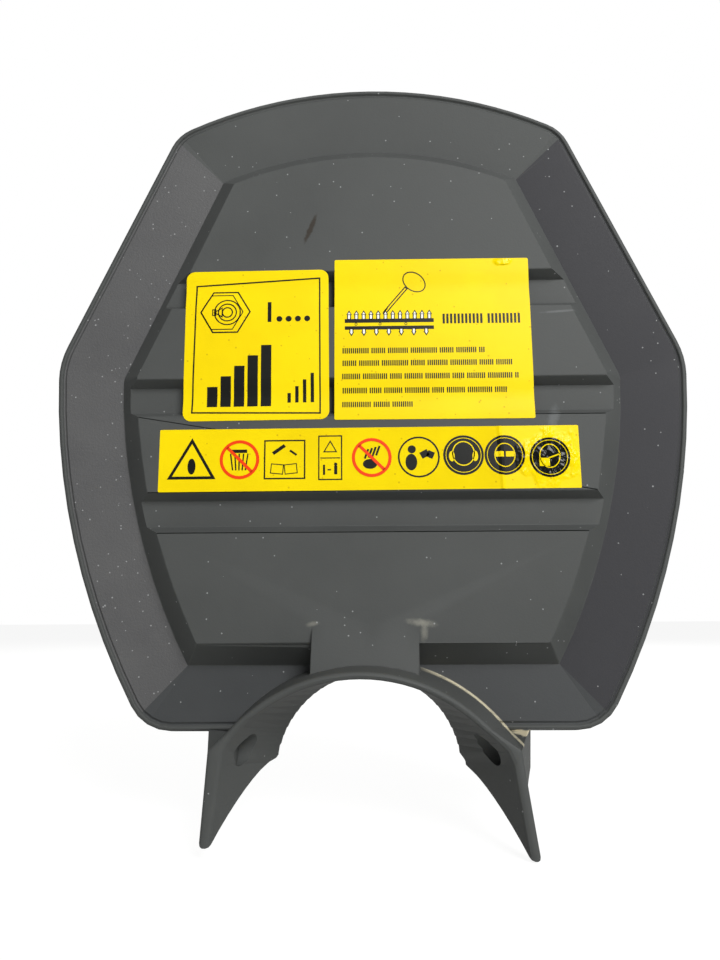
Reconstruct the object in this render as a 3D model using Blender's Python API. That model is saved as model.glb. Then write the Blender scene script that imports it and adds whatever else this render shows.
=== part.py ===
"""Hand guard of a cordless hedge trimmer: a moulded shield on a saddle that snaps over the machine's nose.

Frame, in metres: +Z up the shield, +X to the user's right, -Y towards the user and +Y towards the blade.
The origin is midway between the two peg recesses in the cheeks of the saddle.
"""

import math

import bmesh
import bpy

# ---- driving dimensions, metres --------------------------------------------------------------------
# Outline of the shield, on the step line just inside its rim bead. Half widths are from its middle,
# which stands a little to the side of the saddle's middle.
SHIELD_MIDDLE = 0.0012
SIDE_HALF = 0.0936          # side corners
SIDE_Z = 0.1114
TOP_HALF = 0.0605           # top corners
TOP_Z = 0.1872
TOP_RISE = 0.0146           # how far the arched top edge rises between its corners
FOOT_HALF = 0.0633          # bottom corners
FOOT_Z = 0.0050
FLANK_BULGE = 0.0074        # how far the lower flank bows out of its chord
TOP_FILLET = 0.0106
SIDE_FILLET = 0.0225
FOOT_FILLET = 0.0113

# Relief of the shield, as heights over its rim plane, towards the user.
RIM_Y = 0.0115              # where the rim plane lies
BEAD_WIDTH = 0.0020         # raised bead round the edge
BEAD_STEP = 0.0007          # how far the step line lies below the bead
BAND_WIDTH = 0.0172         # dished band, from the step line to the valley
VALLEY_DEPTH = 0.0030
PANEL_DROP = 0.0015         # the valley and the centre panel sit this much lower than the rim
BEVEL_WIDTH = 0.0062        # steep face from the valley up to the centre panel
PANEL_HEIGHT = 0.0043
EDGE_ROUND = 0.0006         # rounding of the centre panel's edge
SKIRT_DEPTH = 0.0065        # the rim turns back this far behind the rim plane
SKIRT_WALL = 0.0018
SKIRT_FLARE = 0.0009        # how far the skirt spreads outwards on its way back
WALL = 0.0024               # wall of the shield and of the saddle's cheeks

# Channels across the centre panel: height of the middle, and width of the floor.
CHANNELS = ((0.1325, 0.0078), (0.0986, 0.0076), (0.0641, 0.0076))
CHANNEL_DEPTH = 0.0036
CHANNEL_SPREAD = 0.0020     # how far each side wall leans out from the floor to the panel

# Saddle. Its skin and its bore are each given at the front edge and at the back of the shield:
# the arch's radius and apex, where the arch ends, the shoulder's corner, and the end of the leg.
SADDLE_FRONT_Y = -0.0095
SKIN_FRONT = {
    "radius": 0.0459, "apex": 0.0205, "arch_half": 0.0332,
    "corner": (0.0395, 0.0012), "leg": (0.0426, -0.0300),
}
SKIN_BACK = {
    "radius": 0.0505, "apex": 0.0224, "arch_half": 0.0395,
    "corner": (0.0462, 0.0040), "leg": (0.0446, -0.0300),
}
BORE_FRONT = {
    "radius": 0.0453, "apex": 0.0186, "arch_half": 0.0360,
    "corner": (0.0367, -0.0022), "leg": (0.0416, -0.0400),
}
BORE_BACK = {
    "radius": 0.0262, "apex": 0.0178, "arch_half": 0.0258,
    "corner": (0.0273, -0.0062), "leg": (0.0290, -0.0400),
}
CROWN_LEAN = -0.0023        # how far the arch has been pushed aside at its front edge
LEAN_FROM_Z = -0.0050       # the lean grows over the shoulders, between these heights
LEAN_FULL_Z = 0.0070
LIP_ROUND = 0.0009          # rounding of the saddle's front edge
LEG_TIP_Z = -0.0230         # the legs run out in a point here, at the front edge
LEG_HEEL_Z = -0.0062        # and end here at the back
LEG_SWEEP = 0.0026          # how far the trim between tip and heel curves up into the leg
LEG_ROLL = 0.0370           # slope of the trim across the saddle, which leaves one leg a little longer
PEG_RECESS = 0.0080         # the pegs on the machine's nose snap into these
PEG_FLOOR_HALF = 0.0350     # floors of the recesses, from the middle
POCKET_FRONT_Y = 0.0005     # the cheeks are cored out from the back up to here

# Wedge between the centre panel and the crown of the saddle.
GUSSET_MIDDLE = -0.0010
GUSSET_HALF = 0.0149
GUSSET_TOP_Z = 0.0315
GUSSET_CROWN = 0.0010       # how far its top edge rises in the middle
GUSSET_FRONT_Y = 0.0010     # where its sides meet the saddle

# Adhesive labels on the centre panel: middle (x, z), size, corner radius and turn in degrees.
LABEL_THICK = 0.0003
LABEL_GAP = 0.0003
NOISE_LABEL = {"at": (-0.0330, 0.1150), "size": (0.0434, 0.0472), "round": 0.0026, "turn": 0.5}
CARE_LABEL = {"at": (0.0199, 0.1166), "size": (0.0590, 0.0505), "round": 0.0005, "turn": 0.0}
SAFETY_STRIP = {"at": (0.0004, 0.0796), "size": (0.1226, 0.0186), "round": 0.0004, "turn": 0.2}

ARC_STEPS = 10              # points along each long curve of the shield's outline
FILLET_STEPS = 4
ARCH_STEPS = 15             # points along each half of the saddle's arch
GUSSET_STEPS = 7
SWEEP_STEPS = 8
ROUND_STEPS = 48            # sides of a round cutter
SLACK = 0.0050              # how far a cutter runs past what it cuts
FLAT_TO = 1e-8              # a quad that is less flat than this is split, because Booleans need flat faces

GUARD_GREY = (0.085, 0.088, 0.089, 1.0)
LABEL_YELLOW = (0.95, 0.80, 0.01, 1.0)

PANEL_Y = RIM_Y - PANEL_HEIGHT
BACK_Y = RIM_Y + SKIRT_DEPTH
PANEL_INSET = BAND_WIDTH + BEVEL_WIDTH

for old in list(bpy.data.objects):
    bpy.data.objects.remove(old, do_unlink=True)


# ---- plane geometry --------------------------------------------------------------------------------
def bowed(start, end, rise):
    """Centre and radius of the arc that bows out by rise on the left of the way from start to end."""
    chord = math.dist(start, end)
    radius = chord * chord / (8 * rise) + rise / 2
    left = ((start[1] - end[1]) / chord, (end[0] - start[0]) / chord)
    sink = rise - radius
    return ((start[0] + end[0]) / 2 + left[0] * sink, (start[1] + end[1]) / 2 + left[1] * sink), radius


def crossing(point, angle, centre, radius, side):
    """Where a line, whose normal stands at an angle, crosses a circle: the higher side is 1, the lower -1."""
    normal = (math.cos(angle), math.sin(angle))
    gap = (point[0] - centre[0]) * normal[0] + (point[1] - centre[1]) * normal[1]
    reach = math.sqrt(radius * radius - gap * gap) * side
    return centre[0] + normal[0] * gap - normal[1] * reach, centre[1] + normal[1] * gap + normal[0] * reach


def arc(centre, radius, start, stop, steps):
    """Points on a circle from one angle to another, with both ends."""
    turn = (stop - start) / steps
    return [
        (centre[0] + radius * math.cos(start + turn * k), centre[1] + radius * math.sin(start + turn * k))
        for k in range(steps + 1)
    ]


def angle_from(centre, point):
    return math.atan2(point[1] - centre[1], point[0] - centre[0])


def outline(inset):
    """The shield's outline moved inwards, as a closed loop that always has the same points: each is (x, z)
    with how much further in a fillet's point lies from the nearer of the two sides that it joins.
    """
    crown, crown_radius = bowed((-TOP_HALF, TOP_Z), (TOP_HALF, TOP_Z), TOP_RISE)
    flank, flank_radius = bowed((SIDE_HALF, SIDE_Z), (FOOT_HALF, FOOT_Z), FLANK_BULGE)
    slant = math.atan2(SIDE_HALF - TOP_HALF, TOP_Z - SIDE_Z)

    def on_slant(depth):
        return SIDE_HALF - math.cos(slant) * depth, SIDE_Z - math.sin(slant) * depth

    def fillet(radius):
        return max(radius - inset, EDGE_ROUND)

    top_depth = inset + fillet(TOP_FILLET)
    side_depth = inset + fillet(SIDE_FILLET)
    foot_depth = inset + fillet(FOOT_FILLET)
    top = crossing(on_slant(top_depth), slant, crown, crown_radius - top_depth, 1)
    side = crossing(on_slant(side_depth), slant, flank, flank_radius - side_depth, -1)
    foot_z = FOOT_Z + foot_depth
    foot = (flank[0] + math.sqrt((flank_radius - foot_depth) ** 2 - (foot_z - flank[1]) ** 2), foot_z)

    top_end = angle_from(crown, top)
    side_end = angle_from(flank, side)
    foot_start = angle_from(flank, foot)
    def corner(centre, radius, start, stop):
        turn = (stop - start) / FILLET_STEPS
        points = arc(centre, radius, start, stop, FILLET_STEPS)
        sinks = [radius * (1 - math.cos(turn * min(k, FILLET_STEPS - k))) for k in range(FILLET_STEPS + 1)]
        return [(x, z, sink) for (x, z), sink in zip(points, sinks)]

    half = [(x, z, 0.0) for x, z in arc(crown, crown_radius - inset, math.pi / 2, top_end, ARC_STEPS)[:-1]]
    half += corner(top, fillet(TOP_FILLET), top_end, slant)
    half += corner(side, fillet(SIDE_FILLET), slant, side_end)
    half += [(x, z, 0.0) for x, z in arc(flank, flank_radius - inset, side_end, foot_start, ARC_STEPS)[1:-1]]
    half += corner(foot, fillet(FOOT_FILLET), foot_start, -math.pi / 2)
    return half + [(-x, z, sink) for x, z, sink in reversed(half[1:])]


def saddle_chain(front, back, y):
    """The skin's or the bore's line at a depth y, from the left leg over the arch to the right leg."""
    def half_of(shape):
        centre = (0.0, shape["apex"] - shape["radius"])
        end = math.acos(shape["arch_half"] / shape["radius"])
        return arc(centre, shape["radius"], math.pi / 2, end, ARCH_STEPS) + [shape["corner"], shape["leg"]]

    share = (y - SADDLE_FRONT_Y) / (BACK_Y - SADDLE_FRONT_Y)
    half = [
        (a[0] + (b[0] - a[0]) * share, a[1] + (b[1] - a[1]) * share)
        for a, b in zip(half_of(front), half_of(back))
    ]
    lean = CROWN_LEAN * (1 - share)
    chain = []
    for x, z in [(-x, z) for x, z in reversed(half[1:])] + half:
        grown = (z - LEAN_FROM_Z) / (LEAN_FULL_Z - LEAN_FROM_Z)
        chain.append((x + lean * min(max(grown, 0.0), 1.0), z))
    return chain


def moved_out(chain, distance):
    """An open line of points moved to its left by a distance."""
    moved = []
    for k, point in enumerate(chain):
        before = chain[max(k - 1, 0)]
        after = chain[min(k + 1, len(chain) - 1)]
        length = math.dist(before, after)
        moved.append((
            point[0] - (after[1] - before[1]) / length * distance,
            point[1] + (after[0] - before[0]) / length * distance,
        ))
    return moved


# ---- objects ---------------------------------------------------------------------------------------
def is_twisted(quad):
    """Whether the fourth corner of a quad stands off the plane of the other three."""
    first, second, third, fourth = [corner.co for corner in quad.verts]
    normal = (second - first).cross(third - first).normalized()
    return abs(normal.dot(fourth - first)) > FLAT_TO


def mesh_object(name, bm):
    twisted = [face for face in bm.faces if len(face.verts) == 4 and is_twisted(face)]
    bmesh.ops.triangulate(bm, faces=twisted)
    bmesh.ops.recalc_face_normals(bm, faces=bm.faces)
    mesh = bpy.data.meshes.new(name)
    bm.to_mesh(mesh)
    bm.free()
    made = bpy.data.objects.new(name, mesh)
    bpy.context.scene.collection.objects.link(made)
    return made


def add_loft(bm, loops):
    """A closed solid in bm through loops of 3-D points that all have the same count, with flat ends."""
    rings = [[bm.verts.new(point) for point in loop] for loop in loops]
    bm.faces.new(rings[0])
    bm.faces.new(list(reversed(rings[-1])))
    for ring, following in zip(rings, rings[1:]):
        for k in range(len(ring)):
            after = (k + 1) % len(ring)
            bm.faces.new((ring[after], ring[k], following[k], following[after]))


def loft(name, loops):
    bm = bmesh.new()
    add_loft(bm, loops)
    return mesh_object(name, bm)


def cutter(made):
    made.hide_render = True
    made.display_type = "WIRE"
    return made


def boolean(target, other, operation):
    change = target.modifiers.new(f"{operation.lower()} {other.name}", "BOOLEAN")
    change.operation = operation
    change.object = other
    change.solver = "EXACT"


def finish(made, colour, roughness):
    material = bpy.data.materials.new(f"{made.name} finish")
    material.use_nodes = True
    shader = material.node_tree.nodes["Principled BSDF"]
    shader.inputs["Base Color"].default_value = colour
    shader.inputs["Roughness"].default_value = roughness
    made.data.materials.append(material)


# ---- shield: an even-wall dished plate with a raised centre panel ---------------------------------
def relief_loop(inset, height, slope=0.0):
    """The outline at an inset and a height, sunk with the valley and the centre panel. Where the dished
    band ends in a fillet, its slope sinks the points so that the band's faces meet in a crisp mitre.
    """
    drop = PANEL_DROP * min(max(inset / BAND_WIDTH, 0.0), 1.0)
    return [(SHIELD_MIDDLE + x, RIM_Y - height + slope * sink, z - drop) for x, z, sink in outline(inset)]


def channel_bars(name, grow, floor):
    """A bar across the shield for each channel, with leaning sides, from the floor up past the panel."""
    reach = SIDE_HALF + SLACK
    top = PANEL_HEIGHT + SLACK
    bm = bmesh.new()
    for middle, width in CHANNELS:
        low = width / 2 + grow
        high = low + (top - floor) * channel_lean
        corners = ((-low, floor), (low, floor), (high, top), (-high, top))
        add_loft(bm, [[(x, RIM_Y - height, middle + z) for z, height in corners] for x in (-reach, reach)])
    return cutter(mesh_object(name, bm))


channel_lean = CHANNEL_SPREAD / CHANNEL_DEPTH
band_slope = (VALLEY_DEPTH - BEAD_STEP / 2) / (BAND_WIDTH - BEAD_WIDTH * 0.20)
bead_round = BEAD_WIDTH * 0.3
guard = loft("guard_moulding", [relief_loop(*ring) for ring in (
    (-BEAD_WIDTH - SKIRT_FLARE, -SKIRT_DEPTH),
    (-BEAD_WIDTH, -bead_round),
    (bead_round - BEAD_WIDTH, 0.0),
    (BEAD_WIDTH * -0.35, 0.0),
    (BEAD_WIDTH * -0.20, -BEAD_STEP, band_slope),
    (BEAD_WIDTH * 0.10, -BEAD_STEP, band_slope),
    (BEAD_WIDTH * 0.20, -BEAD_STEP / 2, band_slope),
    (BAND_WIDTH, -VALLEY_DEPTH, band_slope),
    (PANEL_INSET - EDGE_ROUND / 2, PANEL_HEIGHT - EDGE_ROUND),
    (PANEL_INSET + EDGE_ROUND / 2, PANEL_HEIGHT),
)])
boolean(guard, channel_bars("channels", 0.0, PANEL_HEIGHT - CHANNEL_DEPTH), "DIFFERENCE")

# The hollow behind the shield repeats its relief one wall further back.
bevel_run = BEVEL_WIDTH / (PANEL_HEIGHT + VALLEY_DEPTH)
bevel_shift = WALL * (math.hypot(1, bevel_run) - bevel_run)
skirt_inset = SKIRT_WALL - BEAD_WIDTH
hollow = cutter(loft("hollow", [relief_loop(*ring) for ring in (
    (skirt_inset - SKIRT_FLARE, -SKIRT_DEPTH - SLACK),
    (skirt_inset, -BEAD_STEP - WALL, band_slope),
    (BAND_WIDTH + bevel_shift, -VALLEY_DEPTH - WALL, band_slope),
    (PANEL_INSET + bevel_shift, PANEL_HEIGHT - WALL),
)]))
channel_shift = WALL * (math.hypot(1, channel_lean) - channel_lean)
channel_back = PANEL_HEIGHT - CHANNEL_DEPTH - WALL
boolean(hollow, channel_bars("channel_backs", channel_shift, channel_back), "DIFFERENCE")
boolean(guard, hollow, "DIFFERENCE")


# ---- saddle: an arched sleeve whose bore narrows towards the blade --------------------------------
def skin_loop(y, inset):
    return [(x, y, z) for x, z in moved_out(saddle_chain(SKIN_FRONT, SKIN_BACK, y), -inset)]


def bore_loop(y, outset):
    return [(x, y, z) for x, z in moved_out(saddle_chain(BORE_FRONT, BORE_BACK, y), outset)]


lip_mid = LIP_ROUND * 0.3
saddle = cutter(loft("saddle", [
    skin_loop(SADDLE_FRONT_Y, LIP_ROUND),
    skin_loop(SADDLE_FRONT_Y + lip_mid, lip_mid),
    skin_loop(SADDLE_FRONT_Y + LIP_ROUND, 0.0),
    skin_loop(BACK_Y, 0.0),
]))
boolean(guard, saddle, "UNION")


def gusset_loops(inset, faces):
    """Sections across the wedge, whose sloping face runs from the panel down to the saddle's crown."""
    radius = SKIN_FRONT["radius"]

    def skin_at(x):
        return SKIN_FRONT["apex"] - radius + math.sqrt(radius * radius - x * x)

    slope = (GUSSET_TOP_Z - skin_at(GUSSET_HALF)) / (PANEL_Y - GUSSET_FRONT_Y)
    loops = []
    for k in range(GUSSET_STEPS + 1):
        x = (GUSSET_HALF - inset) * (2 * k / GUSSET_STEPS - 1)
        top_z = GUSSET_TOP_Z + GUSSET_CROWN * (1 - (x / GUSSET_HALF) ** 2)
        front_y = PANEL_Y - (top_z - skin_at(x)) / slope + inset * math.hypot(1, slope) / slope
        loops.append([(GUSSET_MIDDLE + x, y, z) for y, z in faces(skin_at(x), slope, front_y)])
    return loops


def wedge_faces(skin_z, slope, front_y):
    """The wedge itself, sunk a little into the panel and into the saddle's skin."""
    sunk_y = PANEL_Y + WALL / 2
    sunk_z = skin_z - WALL / 2
    top_z = skin_z + slope * (sunk_y - front_y)
    return (front_y, skin_z), (sunk_y, top_z), (sunk_y, sunk_z), (front_y, sunk_z)


def wedge_core_faces(skin_z, slope, front_y):
    """The hollow inside the wedge, open at the back of the shield."""
    wall_y = PANEL_Y + WALL
    end_z = skin_z + slope * (wall_y - front_y)
    return (front_y, skin_z), (wall_y, end_z), (BACK_Y + SLACK, end_z), (BACK_Y + SLACK, skin_z)


def cross_bar(name, radius, half):
    """A round bar along X through the origin."""
    ring = arc((0.0, 0.0), radius, 0.0, 2 * math.pi, ROUND_STEPS)[:-1]
    return cutter(loft(name, [[(x, y, z) for y, z in ring] for x in (-half, half)]))


boolean(guard, cutter(loft("gusset", gusset_loops(0.0, wedge_faces))), "UNION")
boolean(guard, cutter(loft("gusset_core", gusset_loops(WALL, wedge_core_faces))), "DIFFERENCE")

# The cheeks are cored from the back, round a solid boss for each peg recess.
pocket = cutter(loft("pocket", [skin_loop(y, WALL) for y in (POCKET_FRONT_Y, BACK_Y + SLACK)]))
bore_wall = cutter(loft("bore_wall", [
    bore_loop(POCKET_FRONT_Y - SLACK, WALL),
    bore_loop(BACK_Y + 2 * SLACK, WALL),
]))
boolean(pocket, bore_wall, "DIFFERENCE")
boolean(pocket, cross_bar("peg_bosses", PEG_RECESS / 2 + WALL, SIDE_HALF), "DIFFERENCE")
boolean(guard, pocket, "DIFFERENCE")

boolean(guard, cutter(loft("bore", [
    bore_loop(SADDLE_FRONT_Y - SLACK, LIP_ROUND),
    bore_loop(SADDLE_FRONT_Y, LIP_ROUND),
    bore_loop(SADDLE_FRONT_Y + lip_mid, lip_mid),
    bore_loop(SADDLE_FRONT_Y + LIP_ROUND, 0.0),
    bore_loop(BACK_Y + SLACK, 0.0),
])), "DIFFERENCE")
boolean(guard, cross_bar("peg_recesses", PEG_RECESS / 2, PEG_FLOOR_HALF), "DIFFERENCE")


# The legs run out from a heel at the back to a point at the front, along a hollow curve.
def trim_line():
    """Points of the trim from in front of the saddle to behind the shield, as (y, z)."""
    line = [(SADDLE_FRONT_Y - SLACK, LEG_TIP_Z)]
    for k in range(SWEEP_STEPS + 1):
        share = k / SWEEP_STEPS
        rise = (LEG_HEEL_Z - LEG_TIP_Z) * share + 4 * LEG_SWEEP * share * (1 - share)
        line.append((SADDLE_FRONT_Y + (BACK_Y - SADDLE_FRONT_Y) * share, LEG_TIP_Z + rise))
    return line + [(BACK_Y + SLACK, LEG_HEEL_Z)]


trim = trim_line()
trim += [(trim[-1][0], -SIDE_HALF), (trim[0][0], -SIDE_HALF)]
boolean(guard, cutter(loft("leg_trim", [
    [(x, y, z - LEG_ROLL * x) for y, z in trim] for x in (-SIDE_HALF, SIDE_HALF)
])), "DIFFERENCE")
finish(guard, GUARD_GREY, 0.55)


# ---- labels: thin printed films on the centre panel, which bridge its channels --------------------
def label(name, spec):
    half_x = spec["size"][0] / 2 - spec["round"]
    half_z = spec["size"][1] / 2 - spec["round"]
    turn = math.radians(spec["turn"])
    rim = []
    for k, (sign_x, sign_z) in enumerate(((1, 1), (-1, 1), (-1, -1), (1, -1))):
        start = math.pi / 2 * k
        stop = start + math.pi / 2
        rim += arc((half_x * sign_x, half_z * sign_z), spec["round"], start, stop, FILLET_STEPS)
    turned = [(
        spec["at"][0] + x * math.cos(turn) - z * math.sin(turn),
        spec["at"][1] + x * math.sin(turn) + z * math.cos(turn),
    ) for x, z in rim]
    back_y = PANEL_Y - LABEL_GAP
    film = loft(name, [[(x, y, z) for x, z in turned] for y in (back_y, back_y - LABEL_THICK)])
    finish(film, LABEL_YELLOW, 0.35)


label("noise_label", NOISE_LABEL)
label("care_label", CARE_LABEL)
label("safety_strip", SAFETY_STRIP)
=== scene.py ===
"""Hand guard of a cordless hedge trimmer: grey moulded shield on an arched saddle, with printed labels."""

import math
import bpy
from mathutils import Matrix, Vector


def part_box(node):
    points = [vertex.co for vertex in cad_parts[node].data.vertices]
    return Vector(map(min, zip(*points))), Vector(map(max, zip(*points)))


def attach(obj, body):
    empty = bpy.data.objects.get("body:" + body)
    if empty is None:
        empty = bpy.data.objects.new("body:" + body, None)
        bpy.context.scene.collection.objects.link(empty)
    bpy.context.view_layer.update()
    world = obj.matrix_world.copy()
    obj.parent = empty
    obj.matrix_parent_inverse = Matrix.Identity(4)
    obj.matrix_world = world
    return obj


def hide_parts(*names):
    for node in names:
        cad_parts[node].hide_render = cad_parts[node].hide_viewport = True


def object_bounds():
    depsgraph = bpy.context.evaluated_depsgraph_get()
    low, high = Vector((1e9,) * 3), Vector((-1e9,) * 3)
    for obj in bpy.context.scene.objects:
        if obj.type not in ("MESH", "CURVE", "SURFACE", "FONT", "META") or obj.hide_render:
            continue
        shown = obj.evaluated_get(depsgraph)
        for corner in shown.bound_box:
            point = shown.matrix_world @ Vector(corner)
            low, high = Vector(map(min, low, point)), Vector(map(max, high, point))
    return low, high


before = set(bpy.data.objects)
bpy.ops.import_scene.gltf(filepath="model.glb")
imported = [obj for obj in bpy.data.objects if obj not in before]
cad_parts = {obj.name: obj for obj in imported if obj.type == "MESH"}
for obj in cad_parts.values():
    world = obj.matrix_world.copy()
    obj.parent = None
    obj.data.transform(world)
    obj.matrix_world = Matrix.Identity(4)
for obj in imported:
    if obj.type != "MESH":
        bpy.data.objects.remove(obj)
cad_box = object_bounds()

# ---- Camera -----------------------------------------------------------------------------------------
# A hand-held lens about 200 mm in front of the shield, just below its middle and tipped up.
bpy.ops.object.camera_add(
    location=(0.00102, -0.20379, 0.03461),
    rotation=(math.radians(100.387), math.radians(0.281), math.radians(0.913)),
)
bpy.context.scene.camera = bpy.context.object
bpy.context.object.data.lens = 27.75
bpy.context.object.data.sensor_width = 36.0
bpy.context.object.data.clip_start = 0.01
bpy.context.scene.view_settings.view_transform = "Standard"


# ---- Guard moulding ---------------------------------------------------------------------------------
# One injection moulding in dark grey ABS: dished shield, raised centre panel with three channels, and an
# arched saddle that snaps over the machine's nose. The mould was spark eroded, which leaves a satin grain.
def colour(hex_code):
    """An sRGB hex colour as linear red, green, blue and alpha."""
    channels = [int(hex_code[k:k + 2], 16) / 255 for k in (1, 3, 5)]
    return [c / 12.92 if c <= 0.04045 else ((c + 0.055) / 1.055) ** 2.4 for c in channels] + [1.0]


def new_material(name):
    """A material with a fresh tree that holds one Principled shader and its output."""
    material = bpy.data.materials.new(name)
    material.use_nodes = True
    return material, material.node_tree, material.node_tree.nodes["Principled BSDF"]


def add_node(tree, kind, settings=None, links=None):
    """Adds a node, sets its properties and socket values, and links sockets into it."""
    made = tree.nodes.new(kind)
    for key, value in (settings or {}).items():
        if isinstance(key, int):
            made.inputs[key].default_value = value
        elif key in made.inputs:
            made.inputs[key].default_value = value
        else:
            setattr(made, key, value)
    for key, source in (links or {}).items():
        tree.links.new(source, made.inputs[key])
    return made


back_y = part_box("guard_moulding")[1].y
rim_y = back_y - 0.0065         # the rim plane, in front of the skirt
merge_gap = 0.000002
edge_radius = 0.00025
shortest_bevel = 0.0012         # shorter edges stay sharp
relief_bevel = 0.0050           # and so do these on the relief, where edges crowd at the channels' ends
relief_foot = 0.0500

guard = bpy.data.objects.new("guard_shell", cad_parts["guard_moulding"].data.copy())
bpy.context.scene.collection.objects.link(guard)
bpy.ops.object.select_all(action="DESELECT")
guard.select_set(True)
bpy.context.view_layer.objects.active = guard
bpy.ops.mesh.customdata_custom_splitnormals_clear()
bpy.ops.object.mode_set(mode="EDIT")
bpy.ops.mesh.select_all(action="SELECT")
bpy.ops.mesh.remove_doubles(threshold=merge_gap)
bpy.ops.object.mode_set(mode="OBJECT")
for face in guard.data.polygons:
    face.select = face.center.y < back_y - 0.0001
bpy.ops.object.mode_set(mode="EDIT")
bpy.ops.mesh.select_mode(type="FACE")
bpy.ops.mesh.dissolve_limited(angle_limit=math.radians(0.3))
bpy.ops.mesh.select_mode(type="EDGE")
bpy.ops.mesh.select_all(action="DESELECT")
bpy.ops.mesh.edges_select_sharp(sharpness=math.radians(38))
bpy.ops.object.mode_set(mode="OBJECT")
points = guard.data.vertices
weights = guard.data.attributes.new("bevel_weight_edge", "FLOAT", "EDGE")
for edge in guard.data.edges:
    ends = [points[k].co for k in edge.vertices]
    length = (ends[0] - ends[1]).length
    behind = max(end.y for end in ends) > back_y - 0.0005
    on_relief = ends[0].z > relief_foot and ends[0].y < rim_y - 0.0002
    short = length < shortest_bevel or (on_relief and length < relief_bevel)
    weights.data[edge.index].value = 1.0 if edge.select and not behind and not short else 0.0
soften = guard.modifiers.new("moulded edges", "BEVEL")
soften.width = edge_radius
soften.segments = 2
soften.limit_method = "WEIGHT"
soften.use_clamp_overlap = False
bpy.ops.object.modifier_apply(modifier=soften.name)
split = guard.modifiers.new("split wide faces", "TRIANGULATE")
split.min_vertices = 5
split.ngon_method = "BEAUTY"
bpy.ops.object.modifier_apply(modifier=split.name)

# The band's faces meet in crisp mitres at the shield's corners: their edges are marked sharp.
bpy.ops.object.mode_set(mode="EDIT")
bpy.ops.mesh.select_mode(type="EDGE")
bpy.ops.mesh.select_all(action="DESELECT")
bpy.ops.mesh.edges_select_sharp(sharpness=math.radians(2.5))
bpy.ops.object.mode_set(mode="OBJECT")
points = guard.data.vertices
for edge in guard.data.edges:
    ends = [points[k].co for k in edge.vertices]
    in_band = min(end.y for end in ends) > rim_y and max(end.y for end in ends) < rim_y + 0.0035
    edge.select = edge.select and in_band and (ends[0] - ends[1]).length > 0.008
bpy.ops.object.mode_set(mode="EDIT")
bpy.ops.mesh.mark_sharp()
bpy.ops.object.mode_set(mode="OBJECT")
bpy.ops.object.shade_smooth_by_angle(angle=math.radians(32))
even = guard.modifiers.new("flat faces stay flat", "WEIGHTED_NORMAL")
even.keep_sharp = True
bpy.ops.object.modifier_apply(modifier=even.name)


def add_patch(tree, place, middle, reach, turn, edge, noise):
    """A soft, ragged oval on the front at (x, z) in millimetres: 1 inside, 0 outside, edge as a share."""
    oval = add_node(tree, "ShaderNodeMapping", {
        "vector_type": "TEXTURE", "Location": (middle[0] / 1000, 0.0, middle[1] / 1000),
        "Rotation": (0.0, -math.radians(turn), 0.0), "Scale": (reach[0] / 1000, 0.030, reach[1] / 1000),
    }, {"Vector": place}).outputs[0]
    away = add_node(tree, "ShaderNodeVectorMath", {"operation": "LENGTH"}, {0: oval}).outputs["Value"]
    ragged = add_node(tree, "ShaderNodeMath", {"operation": "ADD"}, {0: away, 1: noise}).outputs[0]
    return add_node(tree, "ShaderNodeMapRange", {
        "interpolation_type": "SMOOTHSTEP", 1: 1.5, 2: 1.5 - edge, 3: 0.0, 4: 1.0,
    }, {0: ragged}).outputs[0]


def add_line(tree, place, centre, radius, width, start, stop, noise):
    """A thin ragged line on the front along a circle, in millimetres, between two heights across."""
    disc = add_node(tree, "ShaderNodeMapping", {
        "vector_type": "TEXTURE", "Location": (centre[0] / 1000, 0.0, centre[1] / 1000),
        "Scale": (radius / 1000, 100.0, radius / 1000),
    }, {"Vector": place}).outputs[0]
    away = add_node(tree, "ShaderNodeVectorMath", {"operation": "LENGTH"}, {0: disc}).outputs["Value"]
    off = add_node(tree, "ShaderNodeMath", {"operation": "SUBTRACT", 1: 1.0}, {0: away}).outputs[0]
    gap = add_node(tree, "ShaderNodeMath", {"operation": "ABSOLUTE"}, {0: off}).outputs[0]
    across = add_node(tree, "ShaderNodeSeparateXYZ", None, {0: place}).outputs[0]
    ended = add_node(tree, "ShaderNodeMath", {"operation": "LESS_THAN", 1: stop / 1000}, {0: across}).outputs[0]
    line = add_node(tree, "ShaderNodeMapRange", {
        1: 0.5 * width / radius, 2: width / radius, 3: 1.0, 4: 0.0,
    }, {0: gap}).outputs[0]
    faded = add_node(tree, "ShaderNodeMapRange", {
        1: start / 1000, 2: (start + 6) / 1000, 3: 0.0, 4: 1.0,
    }, {0: across}).outputs[0]
    worn = add_node(tree, "ShaderNodeMapRange", {1: 0.36, 2: 0.52, 3: 0.45, 4: 1.0}, {0: noise}).outputs[0]
    for share in (faded, ended, worn):
        line = add_node(tree, "ShaderNodeMath", {"operation": "MULTIPLY"}, {0: line, 1: share}).outputs[0]
    return line


def tint(tree, under, hex_code, amount, strength):
    """Mixes a colour over another by a factor socket and a strength."""
    share = add_node(tree, "ShaderNodeMath", {"operation": "MULTIPLY", 1: strength}, {0: amount}).outputs[0]
    return add_node(tree, "ShaderNodeMix", {
        "data_type": "RGBA", 7: colour(hex_code),
    }, {0: share, 6: under}).outputs[2]


def add_cloud(tree, place, hex_codes, stops, noise):
    """Two tones of one colour in slow clouds, from a noise with these settings: its factor and its colour."""
    cloud = add_node(tree, "ShaderNodeTexNoise", noise, {"Vector": place}).outputs["Fac"]
    tone = add_node(tree, "ShaderNodeValToRGB", None, {0: cloud})
    for stop, position, hex_code in zip(tone.color_ramp.elements, stops, hex_codes):
        stop.position = position
        stop.color = colour(hex_code)
    return cloud, tone.outputs["Color"]


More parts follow.
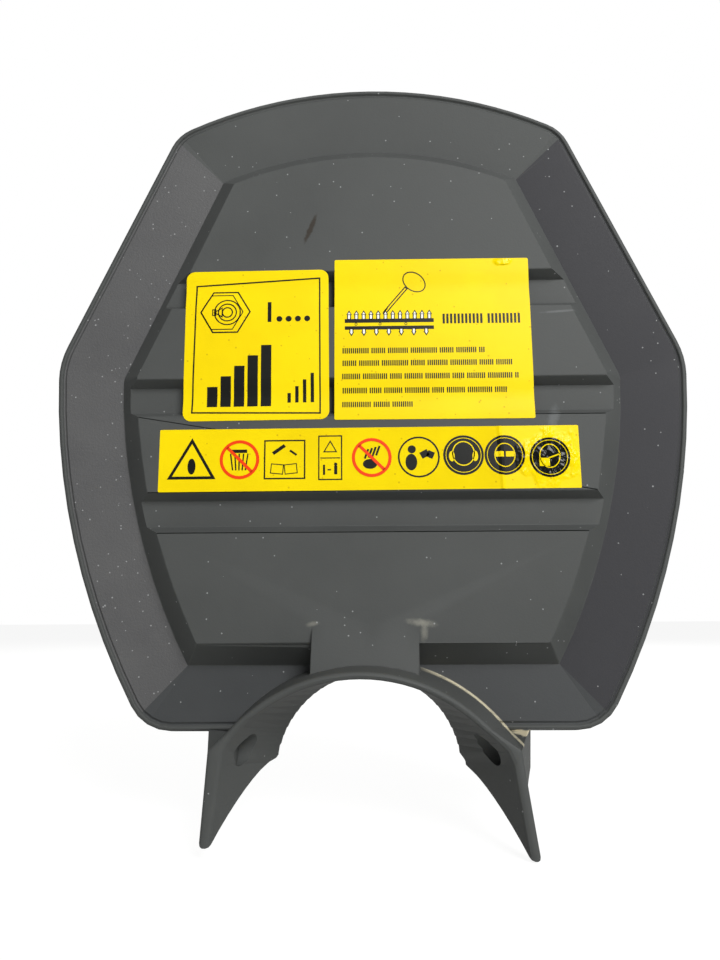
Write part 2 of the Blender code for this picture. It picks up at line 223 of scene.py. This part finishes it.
# Satin grey ABS from a spark-eroded mould: a fine even grain, a slow drift in tone, settled dust as pale
# specks, and where it has been bent, a cream bloom of stress whitening. Paler and darker copies of it paint
# sheen and shade on the dished band's sides.
def moulded_abs(name, dark, light, roughness, grain_depth, speck_share):
    """One finish of the moulding: its two tones, roughness, depth of grain and share of dusty cells."""
    finish, tree, shader = new_material(name)
    place = add_node(tree, "ShaderNodeTexCoord").outputs["Object"]
    cloud, shade = add_cloud(tree, place, (dark, light), (0.32, 0.70), {
        "Scale": 26.0, "Detail": 6.0, "Roughness": 0.6,
    })
    ragged = add_node(tree, "ShaderNodeTexNoise", {
        "Scale": 420.0, "Detail": 5.0, "Roughness": 0.7,
    }, {"Vector": place}).outputs["Fac"]

    # Dry brown drip, two scuffs beside the labels, and whitening at the wedge, the crown and a shoulder.
    for hex_code, strength, middle, reach, turn, edge in (
        ("#2E261D", 0.85, (-17.0, 152.6), (1.1, 6.4), -22.0, 0.5),
        ("#7E8182", 0.35, (58.0, 124.5), (7.0, 0.5), 4.0, 0.6),
        ("#7E8182", 0.35, (55.0, 92.0), (2.2, 6.5), -20.0, 0.7),
        ("#8B8A80", 0.80, (15.0, 32.6), (5.6, 1.5), -8.0, 0.9),
        ("#8B8A80", 0.60, (15.6, 30.2), (1.6, 3.6), 0.0, 0.9),
        ("#8B8A80", 0.55, (-15.6, 32.4), (2.6, 1.0), 8.0, 0.9),
        ("#D8CDAE", 0.95, (42.6, 2.9), (4.6, 0.40), 0.0, 0.4),
    ):
        patch = add_patch(tree, place, middle, reach, turn, edge, ragged)
        shade = tint(tree, shade, hex_code, patch, strength)
    crown_line = add_line(tree, place, (-0.4, -27.6), 49.75, 0.42, 14.0, 40.0, ragged)
    shade = tint(tree, shade, "#CFC7AC", crown_line, 0.85)

    # Dust lies as one speck in some cells: cells 2.6 and 1.1 mm wide, and how much of a cell a speck takes.
    for scale, size, share in ((380.0, 0.10, speck_share), (900.0, 0.20, speck_share * 1.5)):
        cells = add_node(tree, "ShaderNodeTexVoronoi", {"Scale": scale}, {"Vector": place}).outputs
        near = add_node(tree, "ShaderNodeMath", {"operation": "LESS_THAN", 1: size}, {0: cells["Distance"]})
        draw = add_node(tree, "ShaderNodeSeparateColor", None, {0: cells["Color"]})
        kept = add_node(tree, "ShaderNodeMath", {"operation": "LESS_THAN", 1: share}, {0: draw.outputs[0]})
        specks = add_node(tree, "ShaderNodeMath", {
            "operation": "MULTIPLY",
        }, {0: near.outputs[0], 1: kept.outputs[0]}).outputs[0]
        shade = tint(tree, shade, "#A9ABAB", specks, 0.6)
    tree.links.new(shade, shader.inputs["Base Color"])

    # The mould's grain is about 0.7 mm across, as coarse as it needs to be to show.
    grain = add_node(tree, "ShaderNodeTexNoise", {
        "Scale": 1500.0, "Detail": 3.0, "Roughness": 0.7,
    }, {"Vector": place}).outputs["Fac"]
    bump = add_node(tree, "ShaderNodeBump", {"Strength": 1.0, "Distance": grain_depth}, {"Height": grain})
    tree.links.new(bump.outputs["Normal"], shader.inputs["Normal"])
    smear = add_node(tree, "ShaderNodeMapRange", {
        1: 0.35, 2: 0.65, 3: roughness - 0.05, 4: roughness + 0.06,
    }, {0: cloud})
    tree.links.new(smear.outputs[0], shader.inputs["Roughness"])
    shader.inputs["IOR"].default_value = 1.53
    shader.inputs["Specular IOR Level"].default_value = 0.22
    return finish


# The body and the top band share the first finish. The dished band's left, right and foot each have
# their own, and meet at its mitres: a point on each mitre and the way across it, as x from the middle and z.
# The left's paler tones and denser pale specks are a painted sheen over real dust; the right's and the
# foot's darker tones are painted shade.
top_mitre = (0.0470, 0.1700, -0.0170, 0.0145)
foot_mitre = (0.0505, 0.0215, -0.0123, -0.0156)
body_finish, left_finish, right_finish, foot_finish = range(4)


def is_past(mitre, across, up):
    """Whether a place on the band lies past a mitre, towards the top or the foot of the shield."""
    x, z, way_x, way_z = mitre
    return (up - z) * way_z + (abs(across) - x) * way_x > 0.0


guard.data.materials.clear()
for finish in (
    moulded_abs("satin_moulded_grey_abs", "#484A49", "#4F5150", 0.60, 0.00003, 0.016),
    # Left band: paler tones and denser pale specks paint a sheen over real dust; its coarser grain is bump.
    moulded_abs("dusty_grey_abs_painted_sheen", "#515152", "#5B5B5B", 0.52, 0.00012, 0.07),
    # Right band: its darker tones are painted shade.
    moulded_abs("grey_abs_painted_shade", "#353538", "#3A3A3D", 0.58, 0.00003, 0.02),
    # Band's foot: its darker tones are painted shade.
    moulded_abs("shaded_grey_abs", "#3C3E3F", "#444647", 0.58, 0.00003, 0.02),
):
    guard.data.materials.append(finish)
middle_x = (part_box("guard_moulding")[0].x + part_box("guard_moulding")[1].x) / 2
for face in guard.data.polygons:
    across, depth, up = face.center
    across -= middle_x
    face.material_index = body_finish
    if face.normal.y < -0.93 and rim_y + 0.0003 < depth < rim_y + 0.0032:
        if is_past(foot_mitre, across, up) and up < 0.1:
            face.material_index = foot_finish
        elif not is_past(top_mitre, across, up):
            face.material_index = left_finish if across < 0.0 else right_finish
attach(guard, "root")
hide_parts("guard_moulding")


# ---- Label films ------------------------------------------------------------------------------------
# Three printed vinyl labels, cut to shape and stuck over the centre panel by hand. Each film bridges
# the channels that it covers and sinks a little into them.
panel_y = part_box("noise_label")[1].y + 0.0003
film_thick = 0.0001
film_gap = 0.00004              # adhesive under a film
channel_heights = (0.1325, 0.0986)
channel_half = 0.0058
sag = 0.00045
pleat_x = 0.0413                # a pleat across the strip, near its right end
pleat_slant = 0.03
pleat_rise = 0.00035
pleat_half = 0.0009
crease_depth = 0.0007
peel_depth = 0.00002


def lay_down(piece, lift, pleated=False):
    """Lays a flat piece on the panel: cut and sunk across the channels, and raised over the strip's pleat."""
    bpy.ops.object.select_all(action="DESELECT")
    piece.select_set(True)
    bpy.context.view_layer.objects.active = piece
    bpy.ops.object.mode_set(mode="EDIT")
    for height in channel_heights:
        for step in range(-3, 4):
            bpy.ops.mesh.select_all(action="SELECT")
            cut_z = height + channel_half * step / 3
            bpy.ops.mesh.bisect(plane_co=(0.0, 0.0, cut_z), plane_no=(0.0, 0.0, 1.0))
    for step in range(-3, 4) if pleated else ():
        bpy.ops.mesh.select_all(action="SELECT")
        cut_x = pleat_x + pleat_half * step / 3
        bpy.ops.mesh.bisect(plane_co=(cut_x, 0.0, 0.0), plane_no=(1.0, 0.0, pleat_slant))
    bpy.ops.object.mode_set(mode="OBJECT")
    for point in piece.data.vertices:
        depth = 0.0
        if pleated:
            across = point.co.x + pleat_slant * point.co.z - pleat_x
            depth = -pleat_rise * max(1.0 - abs(across) / pleat_half, 0.0)
        for height in channel_heights:
            share = max(1.0 - abs(point.co.z - height) / channel_half, 0.0)
            depth += sag * share * share * (3 - 2 * share)
        point.co.y = panel_y + depth - lift


def add_film(name, node, width, height, corner):
    """One label film, cut to its size and corners, turned as it was stuck down, and given its thickness."""
    low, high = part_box(node)
    middle = (low + high) / 2
    bpy.ops.object.select_all(action="DESELECT")
    bpy.ops.mesh.primitive_plane_add(
        size=1.0, location=(middle.x, panel_y, middle.z), scale=(width, height, 1.0),
        rotation=(math.pi / 2, -math.radians(label_turns[name]), 0.0),
    )
    film = bpy.context.object
    film.name = name
    film.dimensions = (width, height, 0.0)
    bpy.ops.object.transform_apply(location=True, rotation=True, scale=True)
    bpy.ops.object.mode_set(mode="EDIT")
    bpy.ops.mesh.select_all(action="SELECT")
    bpy.ops.mesh.bevel(offset=corner, segments=6, affect="VERTICES")
    bpy.ops.object.mode_set(mode="OBJECT")
    lay_down(film, film_gap, node == "safety_strip")
    wall = film.modifiers.new("film thickness", "SOLIDIFY")
    wall.thickness = film_thick
    wall.offset = 1.0
    bpy.ops.object.modifier_apply(modifier=wall.name)
    bpy.ops.object.shade_smooth_by_angle(angle=math.radians(30))
    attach(film, "root")
    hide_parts(node)
    return film


def add_wrinkles(tree, place, shader):
    """Fine orange peel all over, and creases in the loose right end of the strip and at one label corner."""
    wander = add_node(tree, "ShaderNodeTexNoise", {
        "Scale": 260.0, "Detail": 2.0,
    }, {"Vector": place}).outputs["Fac"]
    loose = add_patch(tree, place, (52.5, 80.0), (9.5, 9.5), 0.0, 0.4, wander)
    corner = add_patch(tree, place, (42.0, 141.0), (3.4, 1.6), 8.0, 0.5, wander)
    both = add_node(tree, "ShaderNodeMath", {"operation": "MAXIMUM"}, {0: loose, 1: corner}).outputs[0]
    fold = add_node(tree, "ShaderNodeMapping", {
        "Scale": (300.0, 300.0, 130.0), "Rotation": (0.0, 0.4, 0.0),
    }, {"Vector": place}).outputs[0]
    creases = add_node(tree, "ShaderNodeTexNoise", {
        "Scale": 1.0, "Detail": 3.0, "Roughness": 0.6, "Distortion": 0.8,
    }, {"Vector": fold}).outputs["Fac"]
    raised = add_node(tree, "ShaderNodeMath", {"operation": "MULTIPLY"}, {0: creases, 1: both}).outputs[0]
    deep = add_node(tree, "ShaderNodeBump", {"Strength": 1.0, "Distance": crease_depth}, {"Height": raised})
    peel = add_node(tree, "ShaderNodeTexNoise", {"Scale": 420.0, "Detail": 3.0}, {"Vector": place})
    bump = add_node(tree, "ShaderNodeBump", {
        "Strength": 1.0, "Distance": peel_depth,
    }, {"Height": peel.outputs["Fac"], "Normal": deep.outputs["Normal"]})
    tree.links.new(bump.outputs["Normal"], shader.inputs["Normal"])
    polish = add_node(tree, "ShaderNodeMapRange", {1: 0.0, 2: 1.0, 3: 0.42, 4: 0.14}, {0: both})
    tree.links.new(polish.outputs[0], shader.inputs["Roughness"])


# Cast vinyl film under a clear laminate: smooth and satin, an even warm yellow, a little soiled by handling.
vinyl, tree, shader = new_material("yellow_vinyl_film")
place = add_node(tree, "ShaderNodeTexCoord").outputs["Object"]
yellow = add_cloud(tree, place, ("#F0D200", "#F6DA00"), (0.3, 0.55), {"Scale": 45.0, "Detail": 6.0})[1]
dirt = add_node(tree, "ShaderNodeTexVoronoi", {"Scale": 330.0}, {"Vector": place})
near = add_node(tree, "ShaderNodeMath", {"operation": "LESS_THAN", 1: 0.10}, {0: dirt.outputs["Distance"]})
tree.links.new(tint(tree, yellow, "#B58A10", near.outputs[0], 0.45), shader.inputs["Base Color"])
add_wrinkles(tree, place, shader)
shader.inputs["IOR"].default_value = 1.45
shader.inputs["Specular IOR Level"].default_value = 0.15
label_turns = {"noise_film": 0.5, "care_film": 0.0, "strip_film": 0.2}
noise_film = add_film("noise_film", "noise_label", 0.0434, 0.0472, 0.0026)
care_film = add_film("care_film", "care_label", 0.0590, 0.0505, 0.0005)
strip_film = add_film("strip_film", "safety_strip", 0.1226, 0.0186, 0.0004)
for film in (noise_film, care_film, strip_film):
    film.data.materials.append(vinyl)


# ---- Label print ------------------------------------------------------------------------------------
# Screen-printed ink on the films: near-black, red and white, a few hundredths of a millimetre thick.
# Every mark is a plain generic sign, and lines of text are plain rows of strokes.
ink_thick = 0.00002
first_ink = film_thick + 0.00006
second_ink = film_thick + 0.00010


def start_print():
    """Opens an empty mesh in edit mode, ready for marks to be added to it."""
    bpy.ops.object.select_all(action="DESELECT")
    bpy.ops.mesh.primitive_plane_add(size=0.01, enter_editmode=True)
    bpy.ops.mesh.delete(type="VERT")
    return bpy.context.object


def on_film(film, across, up):
    """A place on a film, given in millimetres from its middle, in the row frame."""
    turn = math.radians(label_turns[film.name])
    middle = film_middles[film.name]
    x = middle.x + (across * math.cos(turn) - up * math.sin(turn)) / 1000
    z = middle.z + (across * math.sin(turn) + up * math.cos(turn)) / 1000
    return x, panel_y, z


def shape_mark(place, turn, stretch, line):
    """Stretches and turns the mark just added about its place, and hollows it to a line in millimetres."""
    if stretch != (1.0, 1.0):
        bpy.ops.transform.resize(value=(stretch[0], 1.0, stretch[1]), center_override=place)
    if turn:
        bpy.ops.transform.rotate(value=math.radians(turn), orient_axis="Y", center_override=place)
    if line > 0.0:
        bpy.ops.mesh.inset(thickness=line / 1000, use_even_offset=True)
        bpy.ops.mesh.delete(type="FACE")


def add_mark(film, across, up, sides, size, turn=0.0, line=0.0, stretch=(1.0, 1.0)):
    """A regular mark with its size as the radius, filled or drawn as a line of a width, in millimetres."""
    place = on_film(film, across, up)
    bpy.ops.mesh.select_all(action="DESELECT")
    bpy.ops.mesh.primitive_circle_add(
        vertices=sides, radius=size / 1000, fill_type="NGON", location=place, rotation=(math.pi / 2, 0.0, 0.0),
    )
    shape_mark(place, turn + label_turns[film.name], stretch, line)


def add_bar(film, across, up, width, height, turn=0.0, line=0.0):
    """A rectangular mark, filled or drawn as a line of a width, in millimetres."""
    place = on_film(film, across, up)
    bpy.ops.mesh.select_all(action="DESELECT")
    bpy.ops.mesh.primitive_plane_add(size=0.001, location=place, rotation=(math.pi / 2, 0.0, 0.0))
    shape_mark(place, turn + label_turns[film.name], (width, height), line)


def finish_print(piece, name, ink, lift, pleated=False):
    """Closes the print, lays it on its film and gives it its ink."""
    bpy.ops.object.mode_set(mode="OBJECT")
    piece.name = name
    bpy.ops.object.transform_apply(location=True, rotation=True, scale=True)
    lay_down(piece, lift, pleated)
    skin = piece.modifiers.new("ink thickness", "SOLIDIFY")
    skin.thickness = ink_thick
    skin.offset = 1.0
    bpy.ops.object.modifier_apply(modifier=skin.name)
    piece.data.materials.append(ink)
    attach(piece, "root")


def add_ink(name, hex_code):
    """Screen-printing ink, a little glossier than the film under it."""
    ink, tree, shader = new_material(name)
    place = add_node(tree, "ShaderNodeTexCoord").outputs["Object"]
    add_wrinkles(tree, place, shader)
    shader.inputs["IOR"].default_value = 1.45
    shader.inputs["Specular IOR Level"].default_value = 0.3
    shader.inputs["Base Color"].default_value = colour(hex_code)
    return ink


def add_text_row(film, left, right, up, tall, seed):
    """A row of plain upright strokes in word-long groups, which stands for a line of print and says nothing."""
    across = left
    while across < right:
        for k in range(6 + (seed * 7) % 9):
            if across > right:
                break
            add_bar(film, across, up, 0.36 * tall / 1.7, tall)
            across += 0.62 * tall / 1.7
        across += 0.6 * tall / 1.7
        seed += 3


film_middles = {}
for film, node in ((noise_film, "noise_label"), (care_film, "care_label"), (strip_film, "safety_strip")):
    low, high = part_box(node)
    film_middles[film.name] = (low + high) / 2

black_ink = add_ink("black_screen_ink", "#0B0D08")
red_ink = add_ink("red_screen_ink", "#F04000")
white_ink = add_ink("white_screen_ink", "#F2F2EA")

# Noise label: a frame, a sound sign in a hexagon, and a rising level meter with plain ticks and dots.
piece = start_print()
add_bar(noise_film, 0.25, 19.95, 38.0, 0.45, 2.9)
add_bar(noise_film, 0.0, -21.35, 38.4, 0.45, -1.05)
add_bar(noise_film, -18.75, -1.0, 0.45, 40.2, -0.7)
add_bar(noise_film, 19.0, -0.4, 0.45, 42.8)
add_mark(noise_film, -9.6, 10.4, 6, 7.7, 30, line=0.42)
add_mark(noise_film, -10.6, 10.4, 6, 6.5, 30, line=0.28)
for radius in (1.7, 2.9, 4.1):
    add_mark(noise_film, -9.0, 10.3, 28, radius, line=0.36)
add_bar(noise_film, -13.0, 10.3, 1.3, 2.1, line=0.3)
add_mark(noise_film, -11.4, 10.3, 3, 1.9, 90, line=0.3)
add_bar(noise_film, 3.8, 10.2, 1.1, 6.4)
for across in (6.8, 9.6, 12.4, 15.2):
    add_mark(noise_film, across, 7.9, 16, 0.9)
for k, tall in enumerate((6.2, 9.4, 12.6, 15.8, 19.0)):
    add_bar(noise_film, -13.1 + 4.0 * k, -19.3 + tall / 2, 3.1, tall)
for k, tall in enumerate((3.0, 5.0, 7.0, 9.0)):
    add_bar(noise_film, 9.8 + 2.3 * k, -18.3 + tall / 2, 1.0, tall)
finish_print(piece, "noise_print", black_ink, first_ink)

# Care label: a toothed cutter bar, an oil applicator, a headline and five rows of print.
piece = start_print()
add_bar(care_film, -13.0, 5.45, 26.8, 1.2)
add_bar(care_film, -13.0, 3.20, 26.8, 1.1)
for k in range(12):
    add_bar(care_film, -25.1 + 2.2 * k, 6.7, 1.2, 1.7)
    add_mark(care_film, -25.1 + 2.2 * k, 7.9, 3, 0.95, 0)
for k in range(7):
    add_bar(care_film, -24.4 + 3.75 * k, 2.3, 1.2, 1.2)
    add_mark(care_film, -24.4 + 3.75 * k, 1.5, 3, 0.95, 180)
for across in (-23.0, -15.8, -8.0):
    add_mark(care_film, across, 4.4, 12, 0.45, line=0.16)
add_mark(care_film, -5.3, 17.9, 28, 3.9, -38, line=0.34, stretch=(1.0, 0.74))
add_bar(care_film, -11.0, 12.1, 1.15, 10.6, -39, line=0.34)
add_bar(care_film, -14.2, 8.6, 0.4, 2.2, -39)
add_text_row(care_film, 3.4, 26.8, 5.9, 3.1, 2)
for left, right, up, seed in (
    (-27.2, 15.3, -4.0, 1), (-27.2, 23.2, -7.9, 4), (-27.3, 25.2, -12.0, 3), (-27.2, 21.9, -16.3, 6),
    (-27.3, -6.4, -20.6, 5),
):
    add_text_row(care_film, left + 0.3, right, up, 1.7, seed)
finish_print(piece, "care_print", black_ink, first_ink)

piece = start_print()
for k in range(12):
    add_bar(care_film, -25.1 + 2.2 * k, 6.7, 0.62, 1.3)
    add_mark(care_film, -25.1 + 2.2 * k, 7.8, 3, 0.5, 0)
for k in range(7):
    add_bar(care_film, -24.4 + 3.75 * k, 2.3, 0.62, 0.9)
    add_mark(care_film, -24.4 + 3.75 * k, 1.6, 3, 0.5, 180)
finish_print(piece, "care_print_white", white_ink, second_ink)

# Safety strip: nine plain signs in a row. The last three are filled discs with their marks left light.
round_signs = ((27.6, 0.7), (39.6, 0.6), (52.6, -0.2))
piece = start_print()
add_mark(strip_film, -51.7, -1.5, 3, 8.2, 0, line=0.85)
add_mark(strip_film, -51.7, -1.8, 20, 1.9, stretch=(0.62, 1.25))
for k in range(5):
    add_bar(strip_film, -40.0 + 1.1 * k, -0.6, 0.4, 5.0, 8 - 4 * k)
add_bar(strip_film, -37.8, 2.6, 4.6, 1.0)
add_bar(strip_film, -24.5, 0.0, 12.1, 11.7, line=0.42)
add_bar(strip_film, -26.2, 3.0, 4.2, 1.0, 35)
add_bar(strip_film, -22.0, 2.0, 2.4, 0.6, -35)
add_bar(strip_film, -26.7, -2.8, 3.8, 3.0, -6, line=0.26)
add_bar(strip_film, -22.7, -2.8, 3.8, 3.0, 6, line=0.26)
add_bar(strip_film, -11.2, 0.4, 7.0, 13.3, line=0.36)
add_bar(strip_film, -11.2, 0.3, 5.8, 0.3)
add_mark(strip_film, -11.2, 3.2, 3, 2.4, 0, line=0.3)
add_bar(strip_film, -13.0, -3.2, 0.6, 3.0)
add_bar(strip_film, -11.5, -3.2, 1.0, 0.4)
add_mark(strip_film, -9.6, -1.6, 12, 0.5)
add_bar(strip_film, -9.6, -3.3, 0.9, 2.5)
add_mark(strip_film, 0.4, -1.6, 20, 2.1, stretch=(1.0, 0.7))
for k in range(4):
    add_bar(strip_film, -0.6 + 1.1 * k, 1.4 + 0.3 * k, 0.6, 3.0, -20)
add_mark(strip_film, 14.6, 0.3, 32, 6.1, line=0.5)
add_mark(strip_film, 12.6, 2.6, 16, 1.2)
add_mark(strip_film, 12.4, -1.2, 20, 1.9, stretch=(0.9, 1.3))
add_bar(strip_film, 16.3, 1.2, 2.4, 2.0, 28)
add_bar(strip_film, 18.0, 1.0, 2.0, 2.0, -24)
for across, up in round_signs:
    add_mark(strip_film, across, up, 40, 5.9)
finish_print(piece, "strip_print", black_ink, first_ink, True)

piece = start_print()
for across, up in ((-37.7, 0.1), (0.9, 0.3)):
    add_mark(strip_film, across, up, 36, 5.8, line=0.9)
    add_bar(strip_film, across, up, 0.9, 10.2, 45)
finish_print(piece, "strip_print_red", red_ink, second_ink, True)

piece = start_print()
for across, up in round_signs:
    add_mark(strip_film, across, up, 36, 5.2, line=0.18)
add_mark(strip_film, 27.6, 1.2, 28, 3.7, line=0.32, stretch=(0.9, 1.0))
add_mark(strip_film, 24.2, 0.4, 16, 1.2, stretch=(0.7, 1.3))
add_mark(strip_film, 31.0, 0.4, 16, 1.2, stretch=(0.7, 1.3))
add_mark(strip_film, 39.6, 0.6, 28, 3.6, line=0.28, stretch=(0.85, 1.0))
add_bar(strip_film, 38.1, 0.9, 2.4, 1.6)
add_bar(strip_film, 41.1, 0.9, 2.4, 1.6)
add_mark(strip_film, 52.6, 0.2, 28, 3.6, line=0.28, stretch=(0.85, 1.0))
add_bar(strip_film, 51.0, -1.6, 3.0, 2.4)
add_bar(strip_film, 54.0, 0.2, 3.8, 0.4, 20)
finish_print(piece, "strip_print_light", vinyl, second_ink, True)


# ---- Floor and light --------------------------------------------------------------------------------
# A plain pale floor under the legs, a soft lamp in front and to the right, and a large one high behind.
low, high = cad_box
bpy.ops.object.select_all(action="DESELECT")
bpy.ops.mesh.primitive_plane_add(size=12.0, location=(0.0, 0.0, low.z - 0.0004))
floor = bpy.context.object
floor.name = "floor"
floor_paint, tree, shader = new_material("matt_white_floor")
shader.inputs["Base Color"].default_value = colour("#D6D6D4")
shader.inputs["Roughness"].default_value = 0.9
shader.inputs["Specular IOR Level"].default_value = 0.1
shining = add_node(tree, "ShaderNodeEmission", {"Color": (1.0, 1.0, 1.0, 1.0), "Strength": 1.25})
rays = add_node(tree, "ShaderNodeLightPath")
share = add_node(tree, "ShaderNodeMath", {"operation": "MULTIPLY", 1: 0.70}, {0: rays.outputs["Is Camera Ray"]})
either = add_node(tree, "ShaderNodeMixShader", None, {
    0: share.outputs[0], 1: shader.outputs[0], 2: shining.outputs[0],
})
tree.links.new(either.outputs[0], tree.nodes["Material Output"].inputs["Surface"])
floor.data.materials.append(floor_paint)

middle = (low + high) / 2
for name, place, size, power in (
    ("key_lamp", (0.42, -0.80, 0.62), 0.50, 11.0),
    ("back_lamp", (0.1, 1.0, 0.9), 1.0, 9.0),
):
    bpy.ops.object.light_add(type="AREA", location=place)
    lamp = bpy.context.object
    lamp.name = name
    lamp.data.shape = "SQUARE"
    lamp.data.size = size
    lamp.data.energy = power
    lamp.rotation_euler = (middle - lamp.location).to_track_quat("-Z", "Y").to_euler()

# The room lights the guard softly, and is seen as plain white.
room = bpy.data.worlds.new("white_room")
room.use_nodes = True
soft_light = room.node_tree.nodes["Background"]
soft_light.inputs["Color"].default_value = (1.0, 1.0, 1.0, 1.0)
soft_light.inputs["Strength"].default_value = 0.24
seen_white = add_node(room.node_tree, "ShaderNodeBackground", {
    "Color": (1.0, 1.0, 1.0, 1.0), "Strength": 1.0,
})
rays = add_node(room.node_tree, "ShaderNodeLightPath")
either = add_node(room.node_tree, "ShaderNodeMixShader", None, {
    0: rays.outputs["Is Camera Ray"], 1: soft_light.outputs[0], 2: seen_white.outputs[0],
})
room.node_tree.links.new(either.outputs[0], room.node_tree.nodes["World Output"].inputs["Surface"])
bpy.context.scene.world = room
